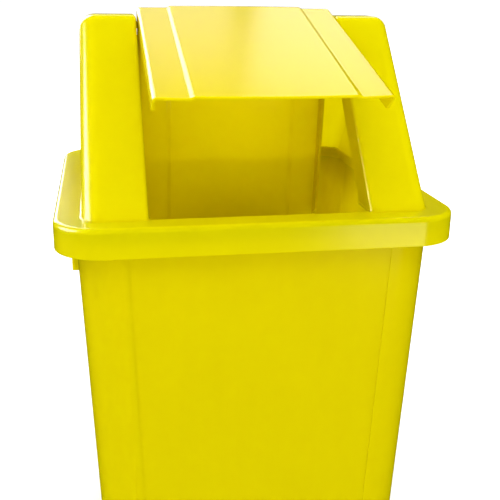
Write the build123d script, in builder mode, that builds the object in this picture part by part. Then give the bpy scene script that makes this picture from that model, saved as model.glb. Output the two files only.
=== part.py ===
from build123d import *
import os
from math import cos, radians, sin

os.makedirs("parts", exist_ok=True)

# Swing-top waste bin of the 60-litre class, moulded in yellow polypropylene.
# Millimetres. Origin at the centre of the underside of the base, +Z up, the front towards -Y.

OVERSHOOT = 1.0               # how far a cutter runs past the surface it opens
TRIM_MARGIN = 30.0            # how far the cutter of the flap's free edges reaches round them
PICK_TOLERANCE = 0.1          # for picking edges and corners by their place

# ---- Body: a tapered bucket with rounded corners ----
BODY_HEIGHT = 507.0
BASE_HALF_WIDTH = 169.7
BASE_HALF_DEPTH = 173.7
BASE_CORNER = 38.0
WALL_DRAFT = 0.039            # outward lean of every wall, mm per mm of height
CORNER_GROWTH = 0.016         # growth of the corner radius, mm per mm of height
BODY_WALL = 2.6
FLOOR_THICKNESS = 4.0
BASE_EDGE_RADIUS = 9.0

# Front and rear walls carry a shallow recessed panel that narrows towards the base.
PANEL_BOTTOM = 38.0
PANEL_HALF_WIDTH = 122.5
PANEL_SPREAD = 0.032          # widening of the panel, mm per mm of height
PANEL_RECESS = 1.2

# Rolled lip round the mouth, and the grip under it on each side wall.
LIP_HALF_WIDTH = 205.3
LIP_HALF_DEPTH = 205.3
LIP_CORNER = 45.5
LIP_THICKNESS = 3.0
LIP_TURN_DOWN = 12.0
LIP_BEAD = 2.5
LIP_EDGE_RADIUS = 1.2
GRIP_REACH = 197.0            # outer face of the grip, from the centre of the bin
GRIP_HALF_LENGTH = 76.0
GRIP_BOTTOM = 424.0
GRIP_WALL = 2.6
GRIP_CORNER = 3.0

# ---- Lid frame: rim, skirt, locating collar and the two towers of the hood ----
RIM_Z = 510.0                 # top face of the rim
RIM_THICKNESS = 3.0
RIM_HALF_WIDTH = 210.0
RIM_HALF_DEPTH = 210.0
RIM_CORNER = 50.0
SKIRT_HEIGHT = 31.0
SKIRT_WALL = 3.0
SKIRT_EDGE_RADIUS = 0.9
RIM_EDGE_RADIUS = 5.0
MOUTH_HALF_WIDTH = 178.0
MOUTH_HALF_DEPTH = 180.0
MOUTH_CORNER = 32.0
COLLAR_WALL = 3.0
COLLAR_DROP = 13.0            # lower edge of the collar below the top face of the rim

HOOD_HEIGHT = 191.0
HOOD_BASE_HALF_WIDTH = 181.5
HOOD_BASE_HALF_DEPTH = 183.5
HOOD_TOP_HALF_WIDTH = 177.2
HOOD_TOP_HALF_DEPTH = 21.6
HOOD_WALL = 3.0
HOOD_EDGE_RADIUS = 17.5
HOOD_FOOT_RADIUS = 2.0
HOOD_FOOT_RISE = 20.0         # edges with their middle above this rise belong to the hood
CHANNEL_HALF_WIDTH = 115.0    # clear width between the towers, where the flap swings
CHANNEL_EDGE_RADIUS = 4.0
CHEEK_THICKNESS = 3.0
CHEEK_BAND = 31.0             # width of the cheek along the sloping edges of a tower
CHEEK_WINDOW_TOP = 145.0      # top of the open window in a cheek, above the rim
CHEEK_WINDOW_RADIUS = 14.0

# ---- Pivot of the flap ----
PIVOT_Z = RIM_Z + 179.5
PIN_RADIUS = 4.0
PIN_FIT = 0.02                # radial play of a pin in the cheek
PIN_RUNNING_CLEARANCE = 0.06  # radial play of the flap on a pin
PIN_HEAD_RADIUS = 7.0
PIN_HEAD_THICKNESS = 2.5
PIN_END = 105.5               # inner end of a pin, from the centre of the bin
PIN_EDGE = 0.8
CHEEK_BOSS_RADIUS = 7.0
CHEEK_BOSS_HEIGHT = 1.0

# ---- Flap: a bent sheet with a raised middle band and side flanges ----
FLAP_HALF_ANGLE = 40.0        # each half from the middle plane of the V
FLAP_OPEN_ANGLE = 34.0        # how far the front half stands swung outwards
FLAP_APEX_RISE = 27.0         # sharp corner of the V above the pivot
FLAP_LENGTH = 265.0           # sharp corner of the V to the corner of the free edge
FLAP_BOW = 6.0                # how far the free edge bulges in its middle
FLAP_HALF_WIDTH = 112.8
FLAP_THICKNESS = 3.0
FLAP_EDGE_RADIUS = 4.0
FLAP_BEND_RADIUS = 12.0
FLAP_CORNER = 2.5
FLANGE_DEPTH = 19.0
FLANGE_THICKNESS = 3.0
FLANGE_CHAMFER = 12.0
FLANGE_CORNER = 5.0
BAND_HALF_WIDTH = 75.2
BAND_RISE = 1.8
BAND_CROWN = 0.4
BAND_SHOULDER = 4.6
BAND_SHOULDER_RADIUS = 5.0
FLAP_EAR_RADIUS = 10.0
FLAP_BOSS_RADIUS = 7.5
FLAP_BOSS_HEIGHT = 2.0


def body_half_width(height):
    return BASE_HALF_WIDTH + WALL_DRAFT * height


def body_half_depth(height):
    return BASE_HALF_DEPTH + WALL_DRAFT * height


def body_corner(height):
    return BASE_CORNER + CORNER_GROWTH * height


def body_section(height, inset=0.0, panels=False):
    """Cross-section of the body at a height, moved inwards by the inset."""
    half_width = body_half_width(height) - inset
    half_depth = body_half_depth(height) - inset
    panel_width = 2 * (PANEL_HALF_WIDTH + PANEL_SPREAD * height)
    with BuildSketch(Plane.XY.offset(height)) as section:
        RectangleRounded(2 * half_width, 2 * half_depth, body_corner(height) - inset)
        if panels:
            with Locations((0, -half_depth), (0, half_depth)):
                Rectangle(panel_width, 2 * PANEL_RECESS, mode=Mode.SUBTRACT)
    return section.sketch


def rounded_ring(height, half_width, half_depth, corner, wall):
    """Ring of constant wall between two rounded rectangles, drawn at a height."""
    with BuildSketch(Plane.XY.offset(height)) as ring:
        RectangleRounded(2 * half_width, 2 * half_depth, corner)
        RectangleRounded(2 * (half_width - wall), 2 * (half_depth - wall), corner - wall, mode=Mode.SUBTRACT)
    return ring.sketch


# ---- Body ----
with BuildPart() as bin_body:
    loft([body_section(0), body_section(PANEL_BOTTOM)], ruled=True)
    fillet(bin_body.faces().sort_by(Axis.Z)[0].edges(), BASE_EDGE_RADIUS)

    loft([body_section(PANEL_BOTTOM, panels=True), body_section(BODY_HEIGHT, panels=True)], ruled=True)

    # Lip: a flat flange with a turned-down edge
    with BuildSketch(Plane.XY.offset(BODY_HEIGHT - LIP_THICKNESS)):
        RectangleRounded(2 * LIP_HALF_WIDTH, 2 * LIP_HALF_DEPTH, LIP_CORNER)
    extrude(amount=LIP_THICKNESS)
    fillet(bin_body.faces().sort_by(Axis.Z)[-1].edges(), LIP_EDGE_RADIUS)
    bead_bottom = BODY_HEIGHT - LIP_TURN_DOWN
    extrude(
        rounded_ring(bead_bottom, LIP_HALF_WIDTH, LIP_HALF_DEPTH, LIP_CORNER, LIP_BEAD),
        amount=LIP_TURN_DOWN - LIP_THICKNESS,
    )

    # Side grips: a hollow shell open downwards, one on each side wall
    grip_height = BODY_HEIGHT - LIP_THICKNESS - GRIP_BOTTOM
    for side in (-1, 1):
        wall_x = body_half_width(GRIP_BOTTOM) - BODY_WALL / 2
        grip_depth = GRIP_REACH - wall_x
        grip_centre = side * (wall_x + grip_depth / 2)
        with BuildSketch(Plane.XY.offset(GRIP_BOTTOM)):
            with Locations((grip_centre, 0)):
                Rectangle(grip_depth, 2 * GRIP_HALF_LENGTH)
        extrude(amount=grip_height)
    upright_edges = bin_body.edges().filter_by(Axis.Z)
    grip_edges = upright_edges.filter_by(lambda edge: abs(abs(edge.center().X) - GRIP_REACH) < PICK_TOLERANCE)
    fillet(grip_edges, GRIP_CORNER)

    # Cavity of the bucket
    cavity_floor = body_section(FLOOR_THICKNESS, inset=BODY_WALL)
    cavity_ledge = body_section(PANEL_BOTTOM, inset=BODY_WALL)
    loft([cavity_floor, cavity_ledge], ruled=True, mode=Mode.SUBTRACT)
    cavity_ledge = body_section(PANEL_BOTTOM, inset=BODY_WALL, panels=True)
    cavity_mouth = body_section(BODY_HEIGHT + OVERSHOOT, inset=BODY_WALL, panels=True)
    loft([cavity_ledge, cavity_mouth], ruled=True, mode=Mode.SUBTRACT)

    # Finger space inside each grip, with sloping inner side that follows the wall
    finger_bottom = GRIP_BOTTOM - OVERSHOOT
    finger_top = BODY_HEIGHT - LIP_THICKNESS - GRIP_WALL
    for side in (-1, 1):
        with BuildSketch(Plane.XZ.offset(-(GRIP_HALF_LENGTH - GRIP_WALL))):
            with BuildLine():
                Polyline(
                    (side * body_half_width(finger_bottom), finger_bottom),
                    (side * (GRIP_REACH - GRIP_WALL), finger_bottom),
                    (side * (GRIP_REACH - GRIP_WALL), finger_top),
                    (side * body_half_width(finger_top), finger_top),
                    close=True,
                )
            make_face()
        extrude(amount=2 * (GRIP_HALF_LENGTH - GRIP_WALL), mode=Mode.SUBTRACT)

bin_body.part.label = "bin_body"
export_step(bin_body.part, "parts/bin_body.step")


# ---- Lid frame ----
hood_slope = (HOOD_BASE_HALF_DEPTH - HOOD_TOP_HALF_DEPTH) / HOOD_HEIGHT
hood_side_slope = (HOOD_BASE_HALF_WIDTH - HOOD_TOP_HALF_WIDTH) / HOOD_HEIGHT
slope_stretch = (1 + hood_slope**2) ** 0.5


def hood_half_depth(rise):
    """Half depth of the hood at a rise above the rim."""
    return HOOD_BASE_HALF_DEPTH - hood_slope * rise


def hood_half_width(rise):
    """Half width of the hood at a rise above the rim."""
    return HOOD_BASE_HALF_WIDTH - hood_side_slope * rise


def cheek_window():
    """Open window of the cheeks: the outline of a tower, moved inwards by the cheek band."""
    band = CHEEK_BAND * slope_stretch
    foot = hood_half_depth(0) - band
    top = hood_half_depth(CHEEK_WINDOW_TOP) - band
    with BuildSketch(Plane.YZ) as window:
        with BuildLine():
            Polyline(
                (-foot, RIM_Z),
                (foot, RIM_Z),
                (top, RIM_Z + CHEEK_WINDOW_TOP),
                (-top, RIM_Z + CHEEK_WINDOW_TOP),
                close=True,
            )
        make_face()
        fillet(window.vertices().group_by(Axis.Y)[-1], CHEEK_WINDOW_RADIUS)
    return window.sketch


# Space inside the two towers, rounded like the hood and cut off at the cheeks
with BuildPart() as tower_space:
    space_height = HOOD_HEIGHT - HOOD_WALL
    for rise in (0, space_height):
        with BuildSketch(Plane.XY.offset(RIM_Z + rise)):
            Rectangle(
                2 * (hood_half_width(rise) - HOOD_WALL),
                2 * (hood_half_depth(rise) - HOOD_WALL * slope_stretch),
            )
    loft(ruled=True)
    space_edges = tower_space.edges().filter_by(lambda edge: edge.center().Z > RIM_Z + HOOD_FOOT_RISE)
    fillet(space_edges, HOOD_EDGE_RADIUS - HOOD_WALL)
    with BuildSketch(Plane.XY.offset(RIM_Z)):
        Rectangle(2 * (CHANNEL_HALF_WIDTH + CHEEK_THICKNESS), 2 * RIM_HALF_DEPTH)
    extrude(amount=HOOD_HEIGHT, mode=Mode.SUBTRACT)


with BuildPart() as lid_frame:
    # Rim plate with its skirt
    with BuildSketch(Plane.XY.offset(RIM_Z - SKIRT_HEIGHT)):
        RectangleRounded(2 * RIM_HALF_WIDTH, 2 * RIM_HALF_DEPTH, RIM_CORNER)
    extrude(amount=SKIRT_HEIGHT)
    fillet(lid_frame.faces().sort_by(Axis.Z)[-1].edges(), RIM_EDGE_RADIUS)
    with BuildSketch(Plane.XY.offset(RIM_Z - SKIRT_HEIGHT)):
        RectangleRounded(
            2 * (RIM_HALF_WIDTH - SKIRT_WALL), 2 * (RIM_HALF_DEPTH - SKIRT_WALL), RIM_CORNER - SKIRT_WALL
        )
    extrude(amount=SKIRT_HEIGHT - RIM_THICKNESS, mode=Mode.SUBTRACT)
    fillet(lid_frame.faces().sort_by(Axis.Z)[0].edges(), SKIRT_EDGE_RADIUS)

    # Solid hood, rounded on every edge above the rim
    with BuildSketch(Plane.XY.offset(RIM_Z)):
        Rectangle(2 * HOOD_BASE_HALF_WIDTH, 2 * HOOD_BASE_HALF_DEPTH)
    with BuildSketch(Plane.XY.offset(RIM_Z + HOOD_HEIGHT)):
        Rectangle(2 * HOOD_TOP_HALF_WIDTH, 2 * HOOD_TOP_HALF_DEPTH)
    loft(ruled=True)
    hood_edges = lid_frame.edges().filter_by(lambda edge: edge.center().Z > RIM_Z + HOOD_FOOT_RISE)
    fillet(hood_edges, HOOD_EDGE_RADIUS)

    # Open channel between the towers
    with BuildSketch(Plane.XY.offset(RIM_Z)):
        Rectangle(2 * CHANNEL_HALF_WIDTH, 2 * RIM_HALF_DEPTH)
    extrude(amount=HOOD_HEIGHT + OVERSHOOT, mode=Mode.SUBTRACT)
    channel_edges = lid_frame.edges().filter_by(
        lambda edge: abs(abs(edge.center().X) - CHANNEL_HALF_WIDTH) < PICK_TOLERANCE
        and edge.center().Z > RIM_Z + HOOD_FOOT_RISE
    )
    fillet(channel_edges, CHANNEL_EDGE_RADIUS)
    foot_edges = lid_frame.edges().filter_by(
        lambda edge: abs(edge.center().Z - RIM_Z) < PICK_TOLERANCE
        and abs(edge.center().X) < HOOD_BASE_HALF_WIDTH + PICK_TOLERANCE
        and abs(edge.center().Y) < HOOD_BASE_HALF_DEPTH + PICK_TOLERANCE
    )
    fillet(foot_edges, HOOD_FOOT_RADIUS)

    # Hollow towers, each closed towards the channel by a cheek with a window
    add(tower_space.part, mode=Mode.SUBTRACT)
    window_reach = CHANNEL_HALF_WIDTH + CHEEK_THICKNESS + OVERSHOOT
    extrude(cheek_window(), amount=window_reach, both=True, mode=Mode.SUBTRACT)

    # Mouth through the rim plate, edged by the locating collar
    with BuildSketch(Plane.XY.offset(RIM_Z - COLLAR_DROP)):
        RectangleRounded(
            2 * (MOUTH_HALF_WIDTH + COLLAR_WALL),
            2 * (MOUTH_HALF_DEPTH + COLLAR_WALL),
            MOUTH_CORNER + COLLAR_WALL,
        )
    extrude(amount=COLLAR_DROP - RIM_THICKNESS)
    with BuildSketch(Plane.XY.offset(RIM_Z - COLLAR_DROP - OVERSHOOT)):
        RectangleRounded(2 * MOUTH_HALF_WIDTH, 2 * MOUTH_HALF_DEPTH, MOUTH_CORNER)
    extrude(amount=COLLAR_DROP + OVERSHOOT, mode=Mode.SUBTRACT)

    # Pivot bosses on the cheeks, bored for the pins
    for side in (-1, 1):
        boss_foot = (side * CHANNEL_HALF_WIDTH, 0, PIVOT_Z)
        cheek_face = Plane(origin=boss_foot, x_dir=(0, 1, 0), z_dir=(-side, 0, 0))
        with BuildSketch(cheek_face):
            Circle(CHEEK_BOSS_RADIUS)
        extrude(amount=CHEEK_BOSS_HEIGHT)
        with BuildSketch(cheek_face.offset(CHEEK_BOSS_HEIGHT)):
            Circle(PIN_RADIUS + PIN_FIT)
        extrude(amount=-(CHEEK_BOSS_HEIGHT + CHEEK_THICKNESS), mode=Mode.SUBTRACT)

lid_frame.part.label = "lid_frame"
export_step(lid_frame.part, "parts/lid_frame.step")


# ---- Pivot pins, pushed in from inside the towers ----
for side, name in ((-1, "left"), (1, "right")):
    head_foot = (side * (CHANNEL_HALF_WIDTH + CHEEK_THICKNESS), 0, PIVOT_Z)
    head_plane = Plane(origin=head_foot, x_dir=(0, 1, 0), z_dir=(side, 0, 0))
    with BuildPart() as pivot_pin:
        with BuildSketch(head_plane):
            Circle(PIN_HEAD_RADIUS)
        extrude(amount=PIN_HEAD_THICKNESS)
        with BuildSketch(head_plane):
            Circle(PIN_RADIUS)
        extrude(amount=-(CHANNEL_HALF_WIDTH + CHEEK_THICKNESS - PIN_END))
        flat_ends = pivot_pin.faces().filter_by(GeomType.PLANE).sort_by(Axis.X)
        fillet(flat_ends[0].edges() + flat_ends[-1].edges(), PIN_EDGE)
    pivot_pin.part.label = f"pivot_pin_{name}"
    export_step(pivot_pin.part, f"parts/pivot_pin_{name}.step")


# ---- Flap ----
open_angle = radians(FLAP_OPEN_ANGLE)
half_angle = radians(FLAP_HALF_ANGLE)

# Side view of the flap: x towards the rear half, y from the pivot to the bend, seen along X.
flap_side = Plane(origin=(0, 0, PIVOT_Z), x_dir=(0, cos(open_angle), -sin(open_angle)), z_dir=(1, 0, 0))


def flap_point(along, depth, half):
    """Point of the side view: along one half (-1 front, 1 rear), at a depth below the sheet."""
    across = half * (along * sin(half_angle) - depth * cos(half_angle))
    up = FLAP_APEX_RISE - along * cos(half_angle) - depth * sin(half_angle)
    return (across, up)


def flap_corner_point(depth):
    """Sharp corner of the V at a depth below the outer surface of the sheet."""
    return (0, FLAP_APEX_RISE - depth / sin(half_angle))


def flap_half_plane(half):
    """Plane of one half: x across the flap, y along the half from the sharp corner."""
    corner = flap_side.from_local_coords(Vector(0, FLAP_APEX_RISE, 0))
    end = flap_side.from_local_coords(Vector(*flap_point(FLAP_LENGTH, 0, half), 0))
    along = (end - corner).normalized()
    return Plane(origin=corner, x_dir=(1, 0, 0), z_dir=Vector(1, 0, 0).cross(along))


with BuildPart() as swing_flap:
    # Bent sheet: a hat-shaped section carried round the bend
    sheet_length = FLAP_LENGTH + FLAP_BOW + OVERSHOOT
    with BuildLine(flap_side) as sheet_route:
        FilletPolyline(
            flap_point(sheet_length, 0, -1),
            flap_corner_point(0),
            flap_point(sheet_length, 0, 1),
            radius=FLAP_BEND_RADIUS,
        )
    sheet_start = Plane(origin=sheet_route.line @ 0, x_dir=(-1, 0, 0), z_dir=sheet_route.line % 0)
    band_foot = BAND_HALF_WIDTH + BAND_SHOULDER
    inner_shift = FLAP_THICKNESS * BAND_RISE / (BAND_SHOULDER + (BAND_SHOULDER**2 + BAND_RISE**2) ** 0.5)
    rim_depth = FLAP_EDGE_RADIUS + OVERSHOOT
    inner_x = FLAP_HALF_WIDTH - FLANGE_THICKNESS
    with BuildSketch(sheet_start) as sheet_section:
        with BuildLine():
            for side in (-1, 1):
                Polyline(
                    (side * BAND_HALF_WIDTH, BAND_RISE),
                    (side * band_foot, 0),
                    (side * FLAP_HALF_WIDTH, 0),
                    (side * FLAP_HALF_WIDTH, -rim_depth),
                    (side * inner_x, -rim_depth),
                    (side * inner_x, -FLAP_THICKNESS),
                    (side * (band_foot - inner_shift), -FLAP_THICKNESS),
                    (side * (BAND_HALF_WIDTH - inner_shift), BAND_RISE - FLAP_THICKNESS),
                )
            ThreePointArc(
                (-BAND_HALF_WIDTH, BAND_RISE), (0, BAND_RISE + BAND_CROWN), (BAND_HALF_WIDTH, BAND_RISE)
            )
            ThreePointArc(
                (inner_shift - BAND_HALF_WIDTH, BAND_RISE - FLAP_THICKNESS),
                (0, BAND_RISE + BAND_CROWN - FLAP_THICKNESS),
                (BAND_HALF_WIDTH - inner_shift, BAND_RISE - FLAP_THICKNESS),
            )
        make_face()
        corners = sheet_section.vertices()
        shoulder_corners = corners.filter_by(lambda corner: abs(corner.X) < band_foot + PICK_TOLERANCE)
        fillet(shoulder_corners, BAND_SHOULDER_RADIUS)
        corners = sheet_section.vertices()
        outer_corners = corners.filter_by(
            lambda corner: abs(corner.X) > inner_x + PICK_TOLERANCE and abs(corner.Y) < PICK_TOLERANCE
        )
        fillet(outer_corners, FLAP_EDGE_RADIUS)
    sweep(path=sheet_route.line)

    # Side flanges with an ear round each pivot hole
    for side in (-1, 1):
        flange_plane = flap_side.offset(side * (FLAP_HALF_WIDTH - FLANGE_THICKNESS / 2))
        with BuildSketch(flange_plane) as flange:
            with BuildLine():
                Polyline(
                    flap_point(FLAP_LENGTH, FLAP_EDGE_RADIUS, -1),
                    flap_corner_point(FLAP_EDGE_RADIUS),
                    flap_point(FLAP_LENGTH, FLAP_EDGE_RADIUS, 1),
                    flap_point(FLAP_LENGTH - FLANGE_CHAMFER, FLANGE_DEPTH, 1),
                    flap_corner_point(FLANGE_DEPTH),
                    flap_point(FLAP_LENGTH - FLANGE_CHAMFER, FLANGE_DEPTH, -1),
                    close=True,
                )
            make_face()
            fillet(flange.vertices().sort_by(Axis.Y)[-1], FLAP_BEND_RADIUS - FLAP_EDGE_RADIUS)
            corner_reach = flap_point(FLAP_LENGTH - FLANGE_CHAMFER, FLANGE_DEPTH, 1)[0]
            end_corners = flange.vertices().filter_by(
                lambda corner: abs(abs(corner.X) - corner_reach) < PICK_TOLERANCE
            )
            fillet(end_corners, FLANGE_CORNER)
            Circle(FLAP_EAR_RADIUS)
        extrude(amount=FLANGE_THICKNESS / 2, both=True)
        with BuildSketch(flap_side.offset(side * inner_x)):
            Circle(FLAP_BOSS_RADIUS)
        extrude(amount=-side * FLAP_BOSS_HEIGHT)

    # Bowed free edges with rounded corners
    for half in (-1, 1):
        with BuildSketch(flap_half_plane(half)) as beyond_edge:
            with BuildLine():
                ThreePointArc(
                    (-FLAP_HALF_WIDTH, FLAP_LENGTH),
                    (0, FLAP_LENGTH + FLAP_BOW),
                    (FLAP_HALF_WIDTH, FLAP_LENGTH),
                )
                Polyline(
                    (FLAP_HALF_WIDTH, FLAP_LENGTH),
                    (FLAP_HALF_WIDTH, FLAP_LENGTH - TRIM_MARGIN),
                    (FLAP_HALF_WIDTH + TRIM_MARGIN, FLAP_LENGTH - TRIM_MARGIN),
                    (FLAP_HALF_WIDTH + TRIM_MARGIN, FLAP_LENGTH + TRIM_MARGIN),
                    (-FLAP_HALF_WIDTH - TRIM_MARGIN, FLAP_LENGTH + TRIM_MARGIN),
                    (-FLAP_HALF_WIDTH - TRIM_MARGIN, FLAP_LENGTH - TRIM_MARGIN),
                    (-FLAP_HALF_WIDTH, FLAP_LENGTH - TRIM_MARGIN),
                    (-FLAP_HALF_WIDTH, FLAP_LENGTH),
                )
            make_face()
            free_corners = beyond_edge.vertices().filter_by(
                lambda corner: abs(corner.Y - FLAP_LENGTH) < PICK_TOLERANCE
            )
            fillet(free_corners, FLAP_CORNER)
        extrude(amount=2 * FLANGE_DEPTH, both=True, mode=Mode.SUBTRACT)

    # Pivot holes
    for side in (-1, 1):
        with BuildSketch(flap_side.offset(side * (FLAP_HALF_WIDTH + OVERSHOOT))):
            Circle(PIN_RADIUS + PIN_RUNNING_CLEARANCE)
        extrude(amount=-side * (FLANGE_THICKNESS + FLAP_BOSS_HEIGHT + 2 * OVERSHOOT), mode=Mode.SUBTRACT)

swing_flap.part.label = "swing_flap"
export_step(swing_flap.part, "parts/swing_flap.step")
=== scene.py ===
from math import cos, pi, radians, sin

import bpy
from mathutils import Matrix, Vector


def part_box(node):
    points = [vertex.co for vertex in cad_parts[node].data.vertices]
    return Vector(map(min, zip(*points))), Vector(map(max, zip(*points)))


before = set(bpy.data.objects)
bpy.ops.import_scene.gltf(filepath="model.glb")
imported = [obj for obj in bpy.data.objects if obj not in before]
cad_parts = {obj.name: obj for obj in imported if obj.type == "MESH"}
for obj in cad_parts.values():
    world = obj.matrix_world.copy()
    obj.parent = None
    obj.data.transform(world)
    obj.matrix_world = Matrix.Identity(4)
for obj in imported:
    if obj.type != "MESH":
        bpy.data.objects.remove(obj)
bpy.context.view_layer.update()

# ---- Places taken from the frame, in metres ----
body_low, body_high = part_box("bin_body")
RIM_PLATE = 0.003
RIM_TOP = body_high.z + RIM_PLATE

# ---- Camera: slightly left of the bin and above it, turned right and down ----
CAMERA_LENS = 58.47
CAMERA_SENSOR = 36.0
CAMERA_YAW = radians(10.43)
CAMERA_PITCH = radians(18.02)
CAMERA_ROLL = radians(-0.80)
CAMERA_SIDE = -0.1565
CAMERA_BACK = -0.9643
CAMERA_ABOVE_RIM = 0.2232

# ---- Colours, linear ----
YELLOW = (0.89, 0.700, 0.0006, 1.0)
YELLOW_DEEP = (0.84, 0.655, 0.0004, 1.0)
# The body's yellows are darker copies of the lid's: painted shade that holds the body down to its shaded
# brightness
BODY_SHADED_YELLOW = (0.75, 0.640, 0.0006, 1.0)
BODY_SHADED_YELLOW_DEEP = (0.70, 0.595, 0.0004, 1.0)
# The flap's yellows are darker copies of the lid's: painted shade that tones down its upward face, which
# the overhead lights would make too bright
FLAP_SHADED_YELLOW = (0.74, 0.550, 0.0006, 1.0)
FLAP_SHADED_YELLOW_DEEP = (0.70, 0.520, 0.0004, 1.0)
WHITE = (1.0, 1.0, 1.0, 1.0)
FLOOR_WHITE = (0.93, 0.93, 0.93, 1.0)

# ---- Plastic ----
GLOSS_RANGE = (0.14, 0.24)              # roughness, from clean to scuffed
PLASTIC_IOR = 1.49
SPECULAR_TINT = (1.0, 0.96, 0.62, 1.0)
SCATTER_RATIO = (1.0, 1.0, 0.1)         # how far red, green and blue travel inside the plastic
BODY_SCATTER = 0.005                    # metres
LID_SCATTER = 0.014
FLAP_SCATTER = 0.016
PIN_SCATTER = 0.020
STREAK_STRETCH = (55.0, 55.0, 4.0)      # streaks per metre along each axis
PIGMENT_CONTRAST = 1.2
WAVE_WEIGHT = 6.0                       # height of the slow waves over that of the fine ripple
BUMP_STRENGTH = 0.05
BUMP_HEIGHT = 0.0004

# ---- Sockets of a colour Mix node, which share their names with those of its other data types ----
MIX_FACTOR = 0
MIX_FIRST = 6
MIX_SECOND = 7
MIX_RESULT = 2

# ---- Floor and room ----
FLOOR_SIZE = 30.0
FLOOR_GAP = 0.0005
FLOOR_GLOW = 0.15                       # weak near the bin, where its shadow falls
FAR_FLOOR_GLOW = 0.9
GLOW_START = 0.5                        # distance from the bin at which the glow starts to rise
GLOW_END = 2.5
ROOM_LIGHT = 0.64
BACKDROP_WHITE = 1.05

# ---- Weak lights under the towers ----
TOWER_LIGHT_SIZE = (0.05, 0.24)
TOWER_LIGHT_SIDE = 0.145
TOWER_LIGHT_DROP = 0.13
TOWER_LIGHT_RADIANCE = 1.8


def node(tree, kind, **settings):
    """New shader node with its input values or attributes set."""
    made = tree.nodes.new(kind)
    for name, value in settings.items():
        if name in made.inputs:
            made.inputs[name].default_value = value
        else:
            setattr(made, name, value)
    return made


def noise(tree, place, scale, detail, roughness=0.55):
    """Noise over a place, with scale in features per metre of it."""
    made = node(tree, "ShaderNodeTexNoise", Scale=scale, Detail=detail, Roughness=roughness)
    tree.links.new(place, made.inputs["Vector"])
    return made.outputs["Fac"]


def to_range(tree, source, low, high, start=0.0, end=1.0):
    """Maps start..end to low..high."""
    made = node(tree, "ShaderNodeMapRange")
    made.inputs["From Min"].default_value = start
    made.inputs["From Max"].default_value = end
    made.inputs["To Min"].default_value = low
    made.inputs["To Max"].default_value = high
    tree.links.new(source, made.inputs["Value"])
    return made.outputs["Result"]


def moulded_plastic(name, scatter, base=YELLOW, deep=YELLOW_DEEP):
    """Glossy moulded plastic: cloudy pigment, flow streaks, surface ripple and faint scuffs."""
    material = bpy.data.materials.new(name)
    material.use_nodes = True
    tree = material.node_tree
    shader = tree.nodes["Principled BSDF"]
    place = node(tree, "ShaderNodeTexCoord").outputs["Object"]

    # Pigment: soft clouds, broken up by streaks drawn out along the height
    drawn_out = node(tree, "ShaderNodeMapping", Scale=STREAK_STRETCH)
    tree.links.new(place, drawn_out.inputs["Vector"])
    streaks = noise(tree, drawn_out.outputs["Vector"], scale=1.0, detail=5.0, roughness=0.6)
    clouds = noise(tree, place, scale=7.0, detail=3.0)
    pigment = node(tree, "ShaderNodeMath", operation="MULTIPLY")
    tree.links.new(clouds, pigment.inputs[0])
    tree.links.new(streaks, pigment.inputs[1])
    strength = to_range(tree, pigment.outputs["Value"], 0.0, PIGMENT_CONTRAST)
    blend = node(tree, "ShaderNodeMix", data_type="RGBA")
    blend.inputs[MIX_FIRST].default_value = base
    blend.inputs[MIX_SECOND].default_value = deep
    tree.links.new(strength, blend.inputs[MIX_FACTOR])
    tree.links.new(blend.outputs[MIX_RESULT], shader.inputs["Base Color"])

    # Gloss: a little rougher where the surface is scuffed
    scuffs = noise(tree, place, scale=38.0, detail=8.0, roughness=0.7)
    tree.links.new(to_range(tree, scuffs, *GLOSS_RANGE), shader.inputs["Roughness"])

    # Relief: slow waves of the cooled wall under a fine ripple
    ripple = noise(tree, place, scale=260.0, detail=2.0)
    waves = noise(tree, place, scale=14.0, detail=1.0)
    height = node(tree, "ShaderNodeMath", operation="MULTIPLY_ADD")
    height.inputs[1].default_value = WAVE_WEIGHT
    tree.links.new(waves, height.inputs[0])
    tree.links.new(ripple, height.inputs[2])
    bump = node(tree, "ShaderNodeBump", Strength=BUMP_STRENGTH, Distance=BUMP_HEIGHT)
    tree.links.new(height.outputs["Value"], bump.inputs["Height"])
    tree.links.new(bump.outputs["Normal"], shader.inputs["Normal"])

    shader.inputs["IOR"].default_value = PLASTIC_IOR
    shader.inputs["Specular Tint"].default_value = SPECULAR_TINT
    shader.inputs["Subsurface Weight"].default_value = 1.0
    shader.inputs["Subsurface Radius"].default_value = SCATTER_RATIO
    shader.inputs["Subsurface Scale"].default_value = scatter
    return material


def paint(node_name, material):
    """Puts one material on every slot of a CAD node."""
    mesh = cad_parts[node_name].data
    for index in range(len(mesh.materials)):
        mesh.materials[index] = material


def white_floor():
    """Plain white floor, glowing more with distance so that it runs into the white backdrop."""
    bpy.ops.mesh.primitive_plane_add(size=FLOOR_SIZE, location=(0, 0, body_low.z - FLOOR_GAP))
    floor = bpy.context.object
    floor.name = "floor"
    material = bpy.data.materials.new("floor_white")
    material.use_nodes = True
    tree = material.node_tree
    shader = tree.nodes["Principled BSDF"]
    shader.inputs["Base Color"].default_value = FLOOR_WHITE
    shader.inputs["Roughness"].default_value = 0.9
    shader.inputs["Specular IOR Level"].default_value = 0.1
    shader.inputs["Emission Color"].default_value = WHITE
    place = node(tree, "ShaderNodeTexCoord").outputs["Object"]
    reach = node(tree, "ShaderNodeVectorMath", operation="LENGTH")
    tree.links.new(place, reach.inputs[0])
    glow = to_range(tree, reach.outputs["Value"], FLOOR_GLOW, FAR_FLOOR_GLOW, GLOW_START, GLOW_END)
    tree.links.new(glow, shader.inputs["Emission Strength"])
    floor.data.materials.append(material)
    floor.visible_glossy = False
    floor.visible_diffuse = False


def area_light(name, size, radiance, place):
    """Rectangular light of an even brightness, facing down until it is turned."""
    data = bpy.data.lights.new(name, "AREA")
    data.shape = "RECTANGLE"
    data.size, data.size_y = size
    data.energy = radiance * pi * size[0] * size[1]
    lamp = bpy.data.objects.new(name, data)
    lamp.location = place
    bpy.context.collection.objects.link(lamp)
    return lamp


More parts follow.
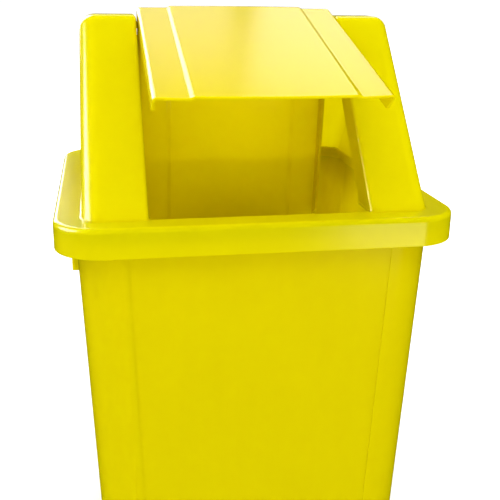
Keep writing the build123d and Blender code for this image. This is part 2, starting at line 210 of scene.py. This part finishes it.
def softbox(name, bearing, height, distance, size, radiance):
    """Light aimed at the rim of the bin, its bearing in degrees clockwise from the rear."""
    angle = radians(bearing)
    place = Vector((distance * sin(angle), distance * cos(angle), height))
    lamp = area_light(name, size, radiance, place)
    aim = Vector((0.0, 0.0, RIM_TOP)) - place
    lamp.rotation_euler = aim.to_track_quat("-Z", "Y").to_euler()
    return lamp


def fill(name, **light):
    """Softbox that lights the plastic and leaves no highlight."""
    softbox(name, **light).visible_glossy = False


def panel(name, **light):
    """Softbox that is seen only as a highlight in the gloss."""
    softbox(name, **light).visible_diffuse = False


def tower_light(name, side):
    """Upward light under one tower, standing in for the daylight that seeps through its wall."""
    place = (side * TOWER_LIGHT_SIDE, 0.0, RIM_TOP - TOWER_LIGHT_DROP)
    lamp = area_light(name, TOWER_LIGHT_SIZE, TOWER_LIGHT_RADIANCE, place)
    lamp.rotation_euler = (pi, 0.0, 0.0)
    lamp.visible_glossy = False
    lamp.visible_camera = False


def white_room():
    """Even white light from all round, with a brighter white behind the bin for the camera."""
    world = bpy.data.worlds.new("studio")
    world.use_nodes = True
    tree = world.node_tree
    background = tree.nodes["Background"]
    background.inputs["Color"].default_value = WHITE
    seen = node(tree, "ShaderNodeLightPath")
    strength = to_range(tree, seen.outputs["Is Camera Ray"], ROOM_LIGHT, BACKDROP_WHITE)
    tree.links.new(strength, background.inputs["Strength"])
    world.cycles_visibility.glossy = False
    bpy.context.scene.world = world


def studio_lights():
    """Soft fills all round the bin, and bright panels for the highlights."""
    fill("front_low_fill", bearing=188, height=0.36, distance=2.6, size=(2.8, 0.12), radiance=19)
    fill("front_top_fill", bearing=194, height=2.8, distance=2.0, size=(1.6, 1.2), radiance=3)
    fill("left_high_fill", bearing=288, height=2.2, distance=1.9, size=(1.2, 1.2), radiance=6.5)
    fill("right_high_fill", bearing=72, height=2.2, distance=1.9, size=(1.2, 1.2), radiance=5.5)
    fill("overhead_fill", bearing=178, height=3.3, distance=0.6, size=(1.6, 1.6), radiance=1.6)
    fill("camera_fill", bearing=190, height=0.8, distance=1.6, size=(0.5, 0.4), radiance=3)
    fill("rear_fill", bearing=15, height=1.2, distance=2.6, size=(2.2, 1.4), radiance=1.6)

    tower_light("tower_glow_left", -1)
    tower_light("tower_glow_right", 1)

    panel("left_window", bearing=-91, height=1.3, distance=2.4, size=(2.0, 1.6), radiance=14)
    panel("rear_left_window", bearing=-23, height=1.9, distance=3.0, size=(1.3, 2.4), radiance=6)
    panel("rear_high_left_panel", bearing=0, height=2.15, distance=2.6, size=(0.95, 1.1), radiance=1.2)
    panel("rear_high_right_panel", bearing=22.5, height=2.3, distance=2.6, size=(0.85, 1.0), radiance=1.8)
    panel("rear_low_panel", bearing=-14, height=1.1, distance=3.0, size=(0.8, 0.9), radiance=0.75)
    panel("front_low_panel", bearing=152.5, height=0.13, distance=1.48, size=(0.5, 0.1), radiance=5)


def catalogue_camera():
    """Camera set from its yaw, pitch and roll."""
    ahead_x = sin(CAMERA_YAW) * cos(CAMERA_PITCH)
    ahead_y = cos(CAMERA_YAW) * cos(CAMERA_PITCH)
    forward = Vector((ahead_x, ahead_y, -sin(CAMERA_PITCH)))
    level = Vector((cos(CAMERA_YAW), -sin(CAMERA_YAW), 0.0))
    down = forward.cross(level)
    across = cos(CAMERA_ROLL) * level + sin(CAMERA_ROLL) * down
    below = cos(CAMERA_ROLL) * down - sin(CAMERA_ROLL) * level
    turn = Matrix((across, -below, -forward)).transposed().to_4x4()

    data = bpy.data.cameras.new("catalogue")
    data.lens = CAMERA_LENS
    data.sensor_width = CAMERA_SENSOR
    camera = bpy.data.objects.new("catalogue", data)
    place = Vector((CAMERA_SIDE, CAMERA_BACK, RIM_TOP + CAMERA_ABOVE_RIM))
    camera.matrix_world = Matrix.Translation(place) @ turn
    bpy.context.collection.objects.link(camera)
    bpy.context.scene.camera = camera


# The body takes its darker yellow, which paints shade on it
paint("bin_body", moulded_plastic("body_yellow_painted_shade", BODY_SCATTER, BODY_SHADED_YELLOW, BODY_SHADED_YELLOW_DEEP))
paint("lid_frame", moulded_plastic("lid_yellow", LID_SCATTER))
# The flap takes its darker yellow, which paints shade on it
paint("swing_flap", moulded_plastic("flap_yellow_painted_shade", FLAP_SCATTER, FLAP_SHADED_YELLOW, FLAP_SHADED_YELLOW_DEEP))
pin_material = moulded_plastic("pin_yellow", PIN_SCATTER)
for side in ("left", "right"):
    paint("pivot_pin_" + side, pin_material)

white_floor()
white_room()
studio_lights()
catalogue_camera()
bpy.context.scene.view_settings.view_transform = "Standard"
